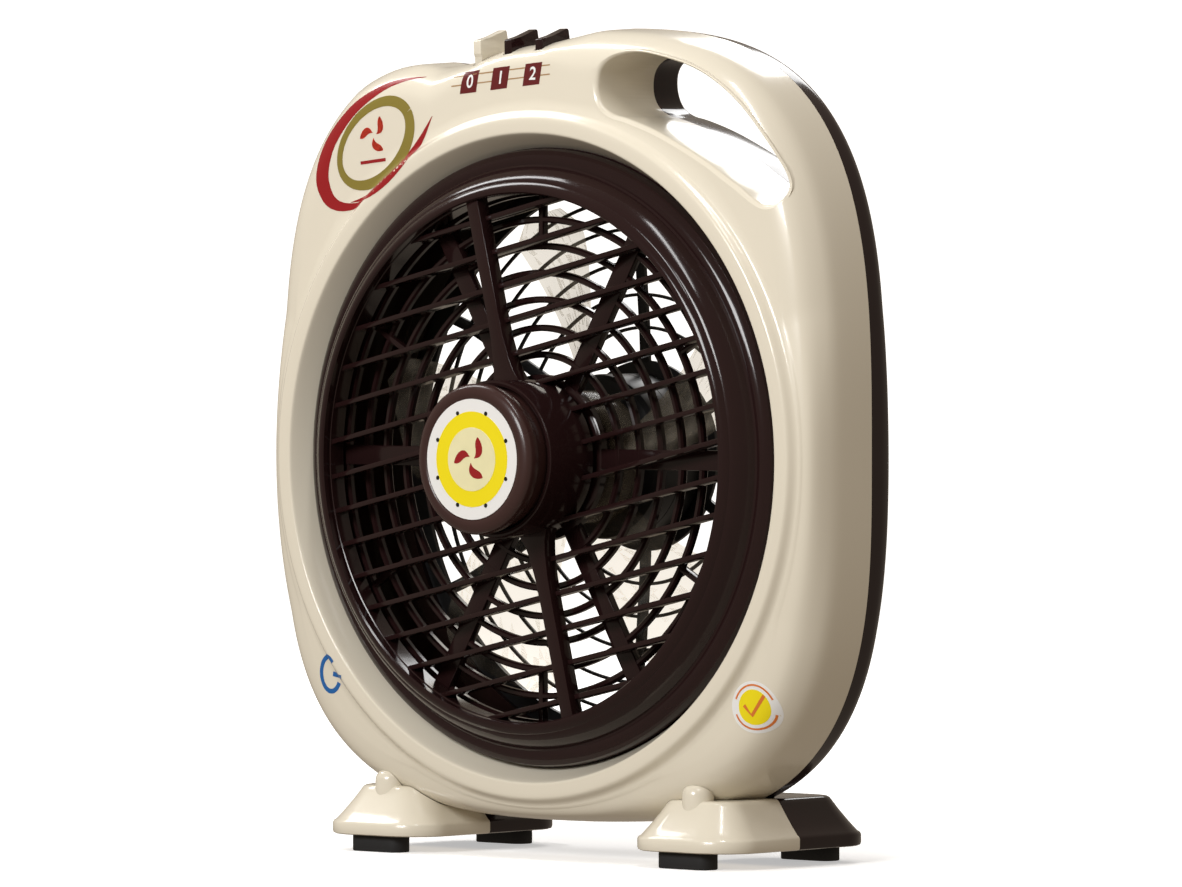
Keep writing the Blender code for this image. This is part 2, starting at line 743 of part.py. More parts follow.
# ---- the whole fan ----------------------------------------------------------
def build():
    clear_scene()
    cream = material("cream_gloss", (0.83, 0.78, 0.70), 0.22)
    brown = material("brown_gloss", (0.030, 0.016, 0.018), 0.16)
    knob_brown = material("knob_brown", (0.085, 0.045, 0.045), 0.2)
    black = material("black_plastic", (0.02, 0.02, 0.022), 0.35)
    smoke = material("smoke_clear", (0.62, 0.56, 0.47), 0.08, alpha=0.5)
    rubber = material("rubber_black", (0.018, 0.018, 0.02), 0.8)
    steel = material("steel", (0.55, 0.56, 0.57), 0.3, 1.0)
    copper = material("copper", (0.72, 0.38, 0.22), 0.35, 1.0)
    badge = material("badge_yellow", (0.90, 0.72, 0.08), 0.35)

    cut = slot_cutter()
    front_housing(cream, cut)
    rear_housing(brown, cut)
    housing_screws(steel)
    front_guard(brown)
    rear_grille(black)
    grille_screws(steel)
    louvre_wheel(brown)
    louvre_knob(knob_brown)
    louvre_small_parts(steel, badge)
    impeller(smoke)
    motor(steel, black, copper)
    for name, x, paint in zip(("key_0", "key_1", "key_2"), KEY_XS, (cream, brown, brown)):
        key(name, x, paint)
    electrics(black, steel, cream)
    envelope = housing_outer(GAP)
    for side in (-1, 1):
        foot(side, True, cream, envelope)
        foot(side, False, brown, envelope)
    pads(rubber)


build()
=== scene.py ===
# %% [markdown]
# # Box fan
# This lesson builds the look of an upright box fan on top of its solid model. Each piece is modelled
# by the way the real one is made: turned pieces are spun, mouldings are spun and then pushed out to
# the housing outline, flat bars are boxes with softened edges.
#
# All shape numbers are millimetres in "fan space": x to the right, y rearwards from the front lip,
# z up from the fan axis. One function turns them into metres over the floor.

import math

import bmesh
import bpy
import numpy as np
from mathutils import Matrix, Vector
from mathutils.bvhtree import BVHTree
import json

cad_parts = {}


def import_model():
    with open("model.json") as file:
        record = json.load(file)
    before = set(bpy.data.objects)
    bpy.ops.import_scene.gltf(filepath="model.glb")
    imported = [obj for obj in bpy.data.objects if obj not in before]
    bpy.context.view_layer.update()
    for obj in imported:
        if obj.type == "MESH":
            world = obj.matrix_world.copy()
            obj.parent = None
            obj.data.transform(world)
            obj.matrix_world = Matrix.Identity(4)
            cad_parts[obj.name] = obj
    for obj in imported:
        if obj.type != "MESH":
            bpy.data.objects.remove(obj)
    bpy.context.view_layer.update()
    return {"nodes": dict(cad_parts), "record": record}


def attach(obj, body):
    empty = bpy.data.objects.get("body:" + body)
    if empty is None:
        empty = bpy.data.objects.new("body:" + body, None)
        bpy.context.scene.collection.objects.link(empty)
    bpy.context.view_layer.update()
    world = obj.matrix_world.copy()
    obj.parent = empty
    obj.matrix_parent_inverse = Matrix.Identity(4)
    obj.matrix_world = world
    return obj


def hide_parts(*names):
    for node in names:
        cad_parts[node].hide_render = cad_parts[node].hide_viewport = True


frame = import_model()
MM = 0.001
AXIS_HEIGHT = 241.0
MID_DEPTH = 41.8
print("nodes:", len(frame["nodes"]))


# %% [markdown]
# ## Small tools
# `world` moves a bmesh from fan space to metres over the floor. `finish_piece` makes the object,
# smooths its faces but keeps real corners sharp, gives it its paint and lets it ride on its body.

# %% Small tools
def world(bm):
    shift = Matrix.Translation((0, -MID_DEPTH * MM, AXIS_HEIGHT * MM)) @ Matrix.Scale(MM, 4)
    bmesh.ops.transform(bm, matrix=shift, verts=bm.verts)


def finish_piece(bm, name, paint, body, replaced=(), sharp=32.0):
    world(bm)
    bmesh.ops.recalc_face_normals(bm, faces=bm.faces)
    mesh = bpy.data.meshes.new(name)
    bm.to_mesh(mesh)
    bm.free()
    mesh.polygons.foreach_set("use_smooth", [True] * len(mesh.polygons))
    mesh.set_sharp_from_angle(angle=math.radians(sharp))
    piece = bpy.data.objects.new(name, mesh)
    bpy.context.scene.collection.objects.link(piece)
    mesh.materials.append(paint)
    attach(piece, body)
    if replaced:
        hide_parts(*replaced)
    return piece


def chaikin(points, rounds=2, closed=False):
    """Cuts every corner of a line, `rounds` times over, which rounds it. Open ends stay put."""
    for _ in range(rounds):
        out = []
        count = len(points)
        for i in range(count if closed else count - 1):
            a = points[i]
            b = points[(i + 1) % count]
            out.append(tuple(0.75 * p + 0.25 * q for p, q in zip(a, b)))
            out.append(tuple(0.25 * p + 0.75 * q for p, q in zip(a, b)))
        points = out if closed else [points[0], *out[1:-1], points[-1]]
    return points


def add_loop(bm, points, closed=True):
    verts = [bm.verts.new(p) for p in points]
    edges = [bm.edges.new((a, b)) for a, b in zip(verts, verts[1:])]
    if closed:
        edges.append(bm.edges.new((verts[-1], verts[0])))
    return edges


def spin(bm, profile, steps=96, closed=True):
    """Turns a (radius, y) line about the fan axis."""
    edges = add_loop(bm, [(r, y, 0.0) for r, y in profile], closed)
    verts = list({v for e in edges for v in e.verts})
    bmesh.ops.spin(
        bm, geom=verts + edges, axis=(0, 1, 0), cent=(0, 0, 0), angle=2 * math.pi, steps=steps, use_merge=True
    )
    bmesh.ops.remove_doubles(bm, verts=bm.verts, dist=1e-4)


def spun(name, profile, paint, body, replaced=(), steps=96, rounds=0, sharp=32.0, at=(0, 0, 0)):
    bm = bmesh.new()
    spin(bm, chaikin(list(profile), rounds, True) if rounds else list(profile), steps)
    bmesh.ops.translate(bm, verts=bm.verts, vec=at)
    return finish_piece(bm, name, paint, body, replaced, sharp)


def add_bar(bm, middle, half, turn=0.0, soft=0.0):
    """A box of half sizes `half` about `middle`, turned about the fan axis, with softened edges."""
    made = bmesh.ops.create_cube(bm, size=2.0)["verts"]
    bmesh.ops.scale(bm, vec=half, verts=made)
    bmesh.ops.translate(bm, vec=middle, verts=made)
    bmesh.ops.rotate(bm, cent=(0, 0, 0), matrix=Matrix.Rotation(-turn, 3, "Y"), verts=made)
    if soft:
        edges = list({e for v in made for e in v.link_edges})
        soften(bm, soft, edges)


def soften(bm, offset, edges=None, segments=2):
    edges = list(bm.edges) if edges is None else edges
    bmesh.ops.bevel(bm, geom=edges, offset=offset, segments=segments, profile=0.5, affect="EDGES", material=-1)


def turn_part(part, turn):
    """Turns a part anticlockwise about the fan axis, as seen from the front."""
    bmesh.ops.rotate(part, cent=(0, 0, 0), matrix=Matrix.Rotation(-turn, 3, "Y"), verts=part.verts)


def absorb(bm, part):
    """Adds a finished part to a bmesh."""
    mesh = bpy.data.meshes.new("part")
    part.to_mesh(mesh)
    part.free()
    bm.from_mesh(mesh)
    bpy.data.meshes.remove(mesh)


def bake(piece, others, operation):
    """Runs one Boolean per helper and keeps the result as the piece's own mesh."""
    for other in others:
        step = piece.modifiers.new("step", "BOOLEAN")
        step.operation = operation
        step.solver = "EXACT"
        step.object = other
    bpy.context.view_layer.update()
    graph = bpy.context.evaluated_depsgraph_get()
    mesh = bpy.data.meshes.new_from_object(piece.evaluated_get(graph))
    piece.modifiers.clear()
    old = piece.data
    piece.data = mesh
    bpy.data.meshes.remove(old)
    mesh.name = piece.name
    for other in others:
        bpy.data.meshes.remove(other.data)
    mesh.polygons.foreach_set("use_smooth", [True] * len(mesh.polygons))
    mesh.set_sharp_from_angle(angle=math.radians(34))


def helper(bm, name):
    world(bm)
    bmesh.ops.recalc_face_normals(bm, faces=bm.faces)
    mesh = bpy.data.meshes.new(name)
    bm.to_mesh(mesh)
    bm.free()
    thing = bpy.data.objects.new(name, mesh)
    bpy.context.scene.collection.objects.link(thing)
    return thing


def loft(bm, loops, caps=True):
    """Joins loops of equal length by faces, one band at a time."""
    rows = [[bm.verts.new(p) for p in loop] for loop in loops]
    for low, high in zip(rows, rows[1:]):
        for j in range(len(low)):
            k = (j + 1) % len(low)
            bm.faces.new((low[j], low[k], high[k], high[j]))
    if caps:
        bm.faces.new(rows[0])
        bm.faces.new(rows[-1])


# %% [markdown]
# ## Paints
# Moulded plastic is never one flat colour. Each paint mixes two close tones with a slow noise, lets
# the roughness drift a little and adds a very fine orange-peel bump, all read from Object coordinates.

# %% Paints
def plastic(name, colour, rough, shade=0.9, peel=0.04, coat=0.0, metal=0.0, scale=14.0, specular=0.5):
    paint = bpy.data.materials.new(name)
    paint.use_nodes = True
    nodes = paint.node_tree.nodes
    link = paint.node_tree.links.new
    shader = nodes["Principled BSDF"]
    where = nodes.new("ShaderNodeTexCoord")
    cloud = nodes.new("ShaderNodeTexNoise")
    cloud.inputs["Scale"].default_value = scale
    cloud.inputs["Detail"].default_value = 3.0
    link(where.outputs["Object"], cloud.inputs["Vector"])
    tone = nodes.new("ShaderNodeMix")
    tone.data_type = "RGBA"
    tone.inputs["A"].default_value = (*[c * shade for c in colour], 1)
    tone.inputs["B"].default_value = (*colour, 1)
    link(cloud.outputs["Fac"], tone.inputs["Factor"])
    link(tone.outputs["Result"], shader.inputs["Base Color"])
    drift = nodes.new("ShaderNodeMapRange")
    drift.inputs["To Min"].default_value = rough * 0.85
    drift.inputs["To Max"].default_value = rough * 1.2
    link(cloud.outputs["Fac"], drift.inputs["Value"])
    link(drift.outputs["Result"], shader.inputs["Roughness"])
    fine = nodes.new("ShaderNodeTexNoise")
    fine.inputs["Scale"].default_value = 420.0
    link(where.outputs["Object"], fine.inputs["Vector"])
    bump = nodes.new("ShaderNodeBump")
    bump.inputs["Strength"].default_value = peel
    bump.inputs["Distance"].default_value = 0.0004
    link(fine.outputs["Fac"], bump.inputs["Height"])
    link(bump.outputs["Normal"], shader.inputs["Normal"])
    shader.inputs["Metallic"].default_value = metal
    shader.inputs["Coat Weight"].default_value = coat
    shader.inputs["Coat Roughness"].default_value = 0.06
    shader.inputs["Specular IOR Level"].default_value = specular
    return paint


def clear_smoke(name):
    """The blades let most light through and tint it beige."""
    paint = plastic(name, (0.42, 0.37, 0.30), 0.22, peel=0.01)
    nodes = paint.node_tree.nodes
    link = paint.node_tree.links.new
    shader = nodes["Principled BSDF"]
    out = nodes["Material Output"]
    through = nodes.new("ShaderNodeBsdfTransparent")
    through.inputs["Color"].default_value = (0.83, 0.80, 0.74, 1)
    both = nodes.new("ShaderNodeMixShader")
    edge = nodes.new("ShaderNodeLayerWeight")
    edge.inputs["Blend"].default_value = 0.25
    amount = nodes.new("ShaderNodeMapRange")
    amount.inputs["To Min"].default_value = 0.10
    amount.inputs["To Max"].default_value = 0.75
    link(edge.outputs["Facing"], amount.inputs["Value"])
    link(amount.outputs["Result"], both.inputs["Fac"])
    link(through.outputs["BSDF"], both.inputs[1])
    link(shader.outputs["BSDF"], both.inputs[2])
    link(both.outputs["Shader"], out.inputs["Surface"])
    return paint


CREAM = plastic("cream_gloss", (0.80, 0.745, 0.620), 0.22, 0.965, 0.02, 0.4, scale=6.0)
BROWN = plastic("brown_gloss", (0.020, 0.008, 0.008), 0.13, 0.75, 0.015, 0.12, specular=0.28)
KNOB = plastic("knob_brown", (0.045, 0.019, 0.017), 0.26, 0.85, 0.03, 0.1, specular=0.4)
BLACK = plastic("black_plastic", (0.010, 0.010, 0.011), 0.36, 0.8, 0.08, specular=0.35)
SMOKE = clear_smoke("smoke_clear")
RUBBER = plastic("rubber_black", (0.012, 0.012, 0.013), 0.75, 0.8, 0.25)
STEEL = plastic("steel", (0.55, 0.56, 0.57), 0.3, 0.9, 0.05, metal=1.0)
COPPER = plastic("copper", (0.62, 0.27, 0.14), 0.35, 0.8, 0.3, metal=1.0)
RED = plastic("print_red", (0.33, 0.006, 0.010), 0.35, 0.85)
DARK_RED = plastic("print_dark_red", (0.13, 0.008, 0.010), 0.35, 0.85)
BRIGHT_RED = plastic("print_bright_red", (0.75, 0.06, 0.03), 0.35, 0.9)
OLIVE = plastic("print_olive", (0.26, 0.205, 0.035), 0.35, 0.85)
GOLD = plastic("print_gold", (0.42, 0.26, 0.12), 0.35, 0.85)
WHITE = plastic("print_white", (0.86, 0.86, 0.85), 0.35, 0.97)
YELLOW = plastic("print_yellow", (0.92, 0.76, 0.004), 0.35, 0.95)
PALE = plastic("print_pale", (0.90, 0.84, 0.50), 0.4, 0.85, scale=90.0)
BLUE = plastic("print_blue", (0.01, 0.13, 0.42), 0.35, 0.85)
ORANGE = plastic("print_orange", (0.75, 0.20, 0.03), 0.35, 0.9)
print("paints:", len(bpy.data.materials))


# %% [markdown]
# ## The housing outline
# Seen from the front the fan is a soft square with a taller top, so two superellipses meet at the
# axis height. Along the top left the console dips to make room for the keys.

# %% The housing outline
HALF_WIDTH = 221.0
HEIGHT_UP = 258.0
HEIGHT_DOWN = 219.0
LIP_FOOT = 209.0
SEAM_Y = 58.0
DIP = (
    (-158, 0), (-130, 3.5), (-110, 8), (-92, 14.5), (-62, 16), (-40, 11.5), (-24, 9), (0, 7), (16, 4), (36, 0),
)
CONSOLE = ((-95, 0), (-65, 1), (10, 1), (36, 0))
POWER_UP = 3.2
POWER_DOWN = 3.1
REACH = 250.0
WIDE = 24.0


def ease(x, table):
    """A smooth curve through the points of a table."""
    xs = [p[0] for p in table]
    if x <= xs[0]:
        return float(table[0][1])
    if x >= xs[-1]:
        return float(table[-1][1])
    i = max(k for k in range(len(xs) - 1) if xs[k] <= x)
    t = (x - xs[i]) / (xs[i + 1] - xs[i])
    y = [table[max(i - 1, 0)][1], table[i][1], table[i + 1][1], table[min(i + 2, len(xs) - 1)][1]]
    a = (y[2] - y[0]) / 2
    b = (y[3] - y[1]) / 2
    t2 = t * t
    t3 = t2 * t
    return (2 * t3 - 3 * t2 + 1) * y[1] + (t3 - 2 * t2 + t) * a + (3 * t2 - 2 * t3) * y[2] + (t3 - t2) * b


def outline(turn):
    up = math.sin(turn) > 0
    power = POWER_UP if up else POWER_DOWN
    height = HEIGHT_UP if up else HEIGHT_DOWN
    across = abs(math.cos(turn)) / HALF_WIDTH
    along = abs(math.sin(turn)) / height
    radius = (across**power + along**power) ** (-1 / power)
    if not up:
        return radius
    whole = radius
    for _ in range(14):
        lowered = ease(radius * math.cos(turn), DIP) / max(abs(math.sin(turn)), 0.2)
        radius = 0.5 * radius + 0.5 * (whole - lowered)
    return radius


def edge_scale(turn):
    radius = outline(turn)
    console = 0.0
    if math.sin(turn) > 0:
        console = ease(radius * math.cos(turn), CONSOLE)
    return min(1.0, (radius - LIP_FOOT) / 28.0) * (1.0 - 0.4 * console)


def push_out(bm, grow=0.0):
    """Moves every point of a round spun skin beyond the lip out to the housing outline.

    The edge keeps its size; the wide face between it and the lip stretches to fit.
    """
    for v in bm.verts:
        radius = math.hypot(v.co.x, v.co.z)
        if radius < LIP_FOOT + 0.5:
            continue
        turn = math.atan2(v.co.z, v.co.x)
        inset = REACH - radius
        new = outline(turn) - inset * edge_scale(turn) + grow
        if inset > WIDE:
            part = (radius - LIP_FOOT) / (REACH - WIDE - LIP_FOOT)
            new = LIP_FOOT + part * (outline(turn) - WIDE * edge_scale(turn) + grow - LIP_FOOT)
        v.co.x = new * math.cos(turn)
        v.co.z = new * math.sin(turn)


STEPS = 320


def moulded_skin(line):
    """A round skin spun from (radius or REACH - inset, y), pushed out to the outline."""
    bm = bmesh.new()
    spin(bm, line, STEPS, closed=False)
    push_out(bm)
    return bm


# %% [markdown]
# ## The carry slot
# The slot is one closed line. Its walls are a sleeve that joins the face to the seam, and its mouth
# is cut with a flared cutter, so that the edge comes out rounded as on a moulding.

# %% The carry slot
SLOT = (
    (73.9, 203.0), (95.6, 195.9), (116.6, 186.6), (137.6, 176.1), (147.6, 169.8), (161.6, 161.6),
    (171.7, 154.6), (180.0, 150.4), (188.0, 151.0), (193.5, 155.5), (194.5, 161.5), (191.0, 169.5),
    (187.6, 174.9), (178.3, 187.9), (161.6, 206.8), (143.5, 221.0), (123.2, 231.8), (101.0, 238.0),
    (79.1, 242.2), (64.7, 240.5), (55.5, 236.0), (51.2, 229.0), (51.0, 218.0), (55.5, 209.5), (64.0, 204.8),
)


def slot_line(grow):
    line = np.array(chaikin([tuple(p) for p in SLOT], 2, True))
    along = np.roll(line, -1, axis=0) - np.roll(line, 1, axis=0)
    out = np.stack((along[:, 1], -along[:, 0]), axis=1)
    out /= np.linalg.norm(out, axis=1)[:, None]
    return line + grow * out


def drape(tree, x, z, start, lift=0.0):
    """y of the skin at a place, looking from `start`; both in fan space."""
    here = Vector((x, start - MID_DEPTH, z + AXIS_HEIGHT)) * MM
    way = Vector((0, 1 if start < SEAM_Y else -1, 0))
    hit = tree.ray_cast(here, way)[0]
    if hit is None:
        return None
    return hit.y / MM + MID_DEPTH + lift


def tree_of(piece):
    mesh = piece.data
    return BVHTree.FromPolygons([v.co for v in mesh.vertices], [p.vertices for p in mesh.polygons])


def slot_tools(tree, start, inward):
    """(sleeve, cutter) for one housing; inward is +1 for the front one and -1 for the rear one."""
    ys = {}
    base = slot_line(0.0)
    seam = SEAM_Y if inward > 0 else SEAM_Y + 0.3
    for i, (x, z) in enumerate(base):
        ys[i] = drape(tree, x, z, start)
    sleeve = bmesh.new()
    rings = []
    for grow, near in ((-0.8, True), (2.5, True), (2.5, False), (-0.8, False)):
        line = slot_line(grow)
        rings.append([(x, ys[i] + inward * 1.3 if near else seam, z) for i, (x, z) in enumerate(line)])
    loft(sleeve, rings + [rings[0]], caps=False)
    bmesh.ops.remove_doubles(sleeve, verts=sleeve.verts, dist=1e-4)
    cutter = bmesh.new()
    rings = [[(x, start, z) for x, z in slot_line(3.4)]]
    for grow, depth in ((3.4, -0.6), (2.6, 0.0), (1.5, 0.45), (0.7, 1.1), (0.2, 2.0), (0.0, 3.2)):
        rings.append([(x, ys[i] + inward * depth, z) for i, (x, z) in enumerate(slot_line(grow))])
    rings.append([(x, seam + inward * 20, z) for x, z in base])
    loft(cutter, rings)
    return helper(sleeve, "sleeve"), helper(cutter, "cutter")


# %% [markdown]
# ## Front housing
# One skin: back of the recess, up the cone, over the flat lip, down to the wide face, round the
# edge and along the side to the seam. Solidify then gives it the wall of a moulding.

# %% Front housing
FRONT_SECTION = ((24, 6.5), (15, 9), (10, 13), (6, 19), (3, 25.5), (1.6, 33), (0, SEAM_Y))
WALL = 3.0
KEY_PLACES = (-51.0, -26.0, -1.0)


def front_line():
    start = [
        (186.2, 19.0), (194.0, 1.2), (194.9, 0.15), (196, 0.0), (202, 0.0), (204.5, 0.5), (207.0, 4.2), (208.9, 5.5),
    ]
    rest = [(REACH - d, y) for d, y in FRONT_SECTION]
    wide = [(LIP_FOOT + 4.0, 5.6), (LIP_FOOT + 10.0, 6.0)]
    return chaikin(start, 2) + chaikin(wide + rest, 2)


def key_slot(x):
    bm = bmesh.new()
    add_bar(bm, (x, 27.0, 248.0), (3.5, 14.8, 20.0), soft=0.6)
    return helper(bm, "key_slot")


skin = moulded_skin(front_line())
bmesh.ops.recalc_face_normals(skin, faces=skin.faces)
front_side = max(skin.faces, key=lambda f: -f.calc_center_median().y)
if front_side.normal.y > 0:
    bmesh.ops.reverse_faces(skin, faces=skin.faces)
bmesh.ops.solidify(skin, geom=list(skin.faces), thickness=WALL)
front = finish_piece(skin, "housing_front_skin", CREAM, "housing", ("front_housing",))
print("front housing box:", [round(v, 4) for v in front.dimensions])
tree = tree_of(front)
sleeve, cutter = slot_tools(tree, -12.0, 1)
bake(front, [sleeve], "UNION")
bake(front, [cutter] + [key_slot(x) for x in KEY_PLACES], "DIFFERENCE")
print("front housing faces:", len(front.data.polygons))


# %% [markdown]
# ## Rear housing
# The dark half runs on from the seam, rounds in to the back and ends in the seat of the rear grille.

# %% Rear housing
SCREW_PLACES = ((25, 226), (138, 238), (-45, 230), (-135, 230))


def rear_line():
    rest = [
        (REACH, SEAM_Y + 0.3), (REACH - 0.3, 66), (REACH - 0.8, 70), (REACH - 3, 75), (REACH - 8, 78), (REACH - 18, 80.5),
    ]
    far = [(LIP_FOOT + 8, 82.6), (LIP_FOOT + 0.6, 83.4)]
    seat = [(LIP_FOOT - 2, 83.9), (200, 86.8), (193, 89.6), (190, 90), (178, 90)]
    return chaikin(rest, 2) + far + chaikin(seat, 2)


skin = moulded_skin(rear_line())
bmesh.ops.recalc_face_normals(skin, faces=skin.faces)
back_side = max(skin.faces, key=lambda f: f.calc_center_median().y)
if back_side.normal.y < 0:
    bmesh.ops.reverse_faces(skin, faces=skin.faces)
bmesh.ops.solidify(skin, geom=list(skin.faces), thickness=WALL)
rear = finish_piece(skin, "housing_rear_skin", BROWN, "housing", ("rear_housing",))
sleeve, cutter = slot_tools(tree_of(rear), 112.0, -1)
bake(rear, [sleeve], "UNION")
holes = []
for angle, radius in SCREW_PLACES:
    hole = bmesh.new()
    spin(hole, [(0, 60), (4.6, 60), (4.6, 99), (0, 99)], 24, closed=False)
    turn = math.radians(angle)
    bmesh.ops.translate(hole, verts=hole.verts, vec=(radius * math.cos(turn), 0, radius * math.sin(turn)))
    holes.append(helper(hole, "hole"))
bake(rear, [cutter] + holes, "DIFFERENCE")
print("rear housing faces:", len(rear.data.polygons))


# %% [markdown]
# ## Louvre wheel
# The wheel is a deep dished ring with stepped grooves, fifteen straight slats and one long spine.
# The ring is spun; each slat is a softened bar whose ends die into the ring wall.

# %% Louvre wheel
LOUVRE_TILT = math.radians(12.5)
SPINE_TILT = math.radians(14.0)
SPINE_SECTION = ((44, 12), (52, 8.2), (60, 6.4), (74, 5.0), (90, 4.6), (159.6, 4.6))
SLAT_COUNT = 15
SLAT_PITCH = 21.0
SLAT_REACH = 160.4
SLAT_Y = 4.2
SLAT_HALF = (5.2, 1.5)
HUB_RADIUS = 47.0
RING = (
    (185.5, 18), (185.3, 13), (184.4, 10.4), (181.6, 8.0), (179.4, 7.1), (177.8, 6.9), (175.8, 7.4), (174.6, 6.6),
    (173.2, 3.6), (171.4, 0.4), (169.2, -2.6), (166.6, -5.2), (165.4, -5.6), (164.7, -6.6), (162.4, -8.2),
    (160.6, -8.95), (159.2, -8.8), (158.5, -7.8), (158.5, -4.6), (159.1, -4.3), (159.1, -1.8), (158.5, -1.5),
    (158.5, 10), (161, 10), (161.4, -5.4), (168.2, 0.2), (171.4, 5.2), (174.0, 9.8), (179.4, 9.6), (182.6, 12.6),
    (183, 18),
)


def add_slats(bm):
    for n in range(SLAT_COUNT):
        z = (n - (SLAT_COUNT - 1) / 2) * SLAT_PITCH
        reach = math.sqrt(SLAT_REACH**2 - z * z)
        if abs(z) > HUB_RADIUS:
            add_bar(bm, (0, SLAT_Y, z), (reach, *SLAT_HALF), LOUVRE_TILT, 0.5)
            continue
        inner = math.sqrt((HUB_RADIUS - 1.5) ** 2 - z * z)
        for side in (-1, 1):
            middle = side * (reach + inner) / 2
            add_bar(bm, (middle, SLAT_Y, z), ((reach - inner) / 2, *SLAT_HALF), LOUVRE_TILT, 0.5)


def add_spine(bm):
    for sign in (1, -1):
        rows = []
        for reach, half in SPINE_SECTION:
            up = sign * reach
            rows.append([(-half, -6, up), (half, -6, up), (half, 4, up), (-half, 4, up)])
        part = bmesh.new()
        loft(part, rows)
        soften(part, 0.6)
        turn_part(part, SPINE_TILT)
        absorb(bm, part)


HUB = (
    (5.3, -12), (9, -12), (9, -10.5), (43.4, -10.5), (43.4, -28.6), (43.9, -29.6), (44.8, -30), (45.8, -30),
    (46.6, -29.7), (47, -28.8), (47, 8), (44.6, 8), (44.6, -7.6), (9, -7.6), (9, 7.5), (5.3, 7.5),
)
bm = bmesh.new()
spin(bm, RING, 256)
spin(bm, HUB, 128)
add_slats(bm)
add_spine(bm)
finish_piece(bm, "louvre_wheel_look", BROWN, "louvre", ("louvre_wheel",), 30)

# %% [markdown]
# ## Knob and badge
# The knob is one turned cap with a groove behind it. The badge is a printed disc: a white rim, a
# yellow field, a paler middle, dots round the rim and a plain three-blade sign.

# %% Knob and badge
KNOB_LINE = (
    (0, -47.7), (36.6, -47.7), (37.2, -48.1), (39.6, -48.2), (42.4, -47.6), (44.2, -46.2), (45, -44.2),
    (45, -39.4), (44.6, -38.3), (43.6, -37.8), (42, -37.6), (42, -22), (39.6, -22), (39.6, -35), (41.6, -40),
    (40, -44.6), (0, -44.6),
)
spun("knob_cap", KNOB_LINE, KNOB, "knob", ("louvre_knob",), 128)


def disc(name, radius, y, paint, body, replaced=(), centre=(0, 0), thick=0.12):
    line = ((0, y - thick), (radius - 0.05, y - thick), (radius, y), (0, y))
    return spun(name, line, paint, body, replaced, 72, at=(centre[0], 0, centre[1]))


disc("badge_rim", 36.0, -47.82, WHITE, "knob", ("knob_badge",))
disc("badge_field", 28.5, -47.98, YELLOW, "knob", thick=0.08)
disc("badge_middle", 19.0, -48.1, PALE, "knob", thick=0.08)


def fan_sign(size, y, centre, turn=0.3):
    """Three comma-shaped blades about a centre point."""
    bm = bmesh.new()
    for n in range(3):
        rows = []
        for k in range(13):
            part = k / 12
            lean = turn + n * 2 * math.pi / 3 + 0.9 * part
            wide = 0.42 * math.sin(math.pi * min(1.0, part * 0.92 + 0.06))
            reach = size * (0.16 + 0.84 * part)
            rows.append([(reach, lean - wide), (reach, lean + wide)])
        for a, b in zip(rows, rows[1:]):
            corners = []
            for r, t in (a[0], a[1], b[1], b[0]):
                corners.append(bm.verts.new((centre[0] + r * math.cos(t), y, centre[1] + r * math.sin(t))))
            bm.faces.new(corners)
    bmesh.ops.remove_doubles(bm, verts=bm.verts, dist=1e-3)
    bmesh.ops.solidify(bm, geom=list(bm.faces), thickness=0.06)
    return bm


finish_piece(fan_sign(14.0, -48.22, (0, 0)), "badge_sign", RED, "knob")
bm = bmesh.new()
for n in range(8):
    turn = math.radians(22.5 + 45 * n)
    made = bmesh.ops.create_circle(bm, cap_ends=True, segments=16, radius=1.3)["verts"]
    bmesh.ops.rotate(bm, cent=(0, 0, 0), matrix=Matrix.Rotation(math.pi / 2, 3, "X"), verts=made)
    bmesh.ops.translate(bm, verts=made, vec=(29.5 * math.cos(turn), -48.14, 29.5 * math.sin(turn)))
bmesh.ops.solidify(bm, geom=list(bm.faces), thickness=0.06)
finish_piece(bm, "badge_dots", BLACK, "knob")

# %% [markdown]
# ## Guard and rear grille
# Both are injection-moulded spiders: rings joined by broad arms; the guard also has thin ties further out.

# %% Guard and rear grille
GUARD_RINGS = (62.0, 78.0, 95.0, 111.0, 127.0, 143.0, 159.5)
GRILLE_RINGS = (78.0, 98.0, 118.0, 138.0, 156.0)
GUARD_HUB = (
    (5.3, 10.5), (9, 10.5), (12, 12.4), (48.6, 12.4), (50, 13.2), (50, 17.8), (47, 17.8), (47, 15.6), (12, 15.6),
    (9, 17.5), (5.3, 17.5),
)
GUARD_RIM = (
    (158.6, 13.6), (161.5, 13.6), (165, 19.4), (191.5, 19.4), (191.5, 22.9), (164.8, 22.9), (160.8, 19.2), (158.6, 19.2),
)
GRILLE_RIM = (
    (166.8, 91.6), (168, 91.5), (174, 90.4), (191, 90.4), (191, 92.8), (190.2, 93.6), (174, 93.6), (167.8, 94.7),
    (166.8, 94.6),
)


def guard_y(radius):
    return float(np.interp(radius, (50, 161.5), (12.4, 13.6)))


bm = bmesh.new()
for ring in GUARD_RINGS:
    y = guard_y(ring)
    section = [(ring - 2, y), (ring + 2, y), (ring + 2, y + 5.6), (ring - 2, y + 5.6)]
    spin(bm, chaikin(section, 1, True), 144)
spin(bm, GUARD_HUB, 96)
spin(bm, GUARD_RIM, 144)
for n in range(6):
    turn = n * math.pi / 3
    add_bar(bm, (104, 15.8, 0), (57, 3.0, 6.0), turn, 0.6)
    add_bar(bm, (142.5, 16.0, 0), (16.5, 2.6, 1.7), turn + math.pi / 6, 0.4)
finish_piece(bm, "guard_look", BROWN, "housing", ("front_guard",))


def grille_y(radius):
    return float(np.interp(radius, (58, 78, 118, 156, 168, 174), (108, 107, 103.5, 98, 91.5, 90.4)))


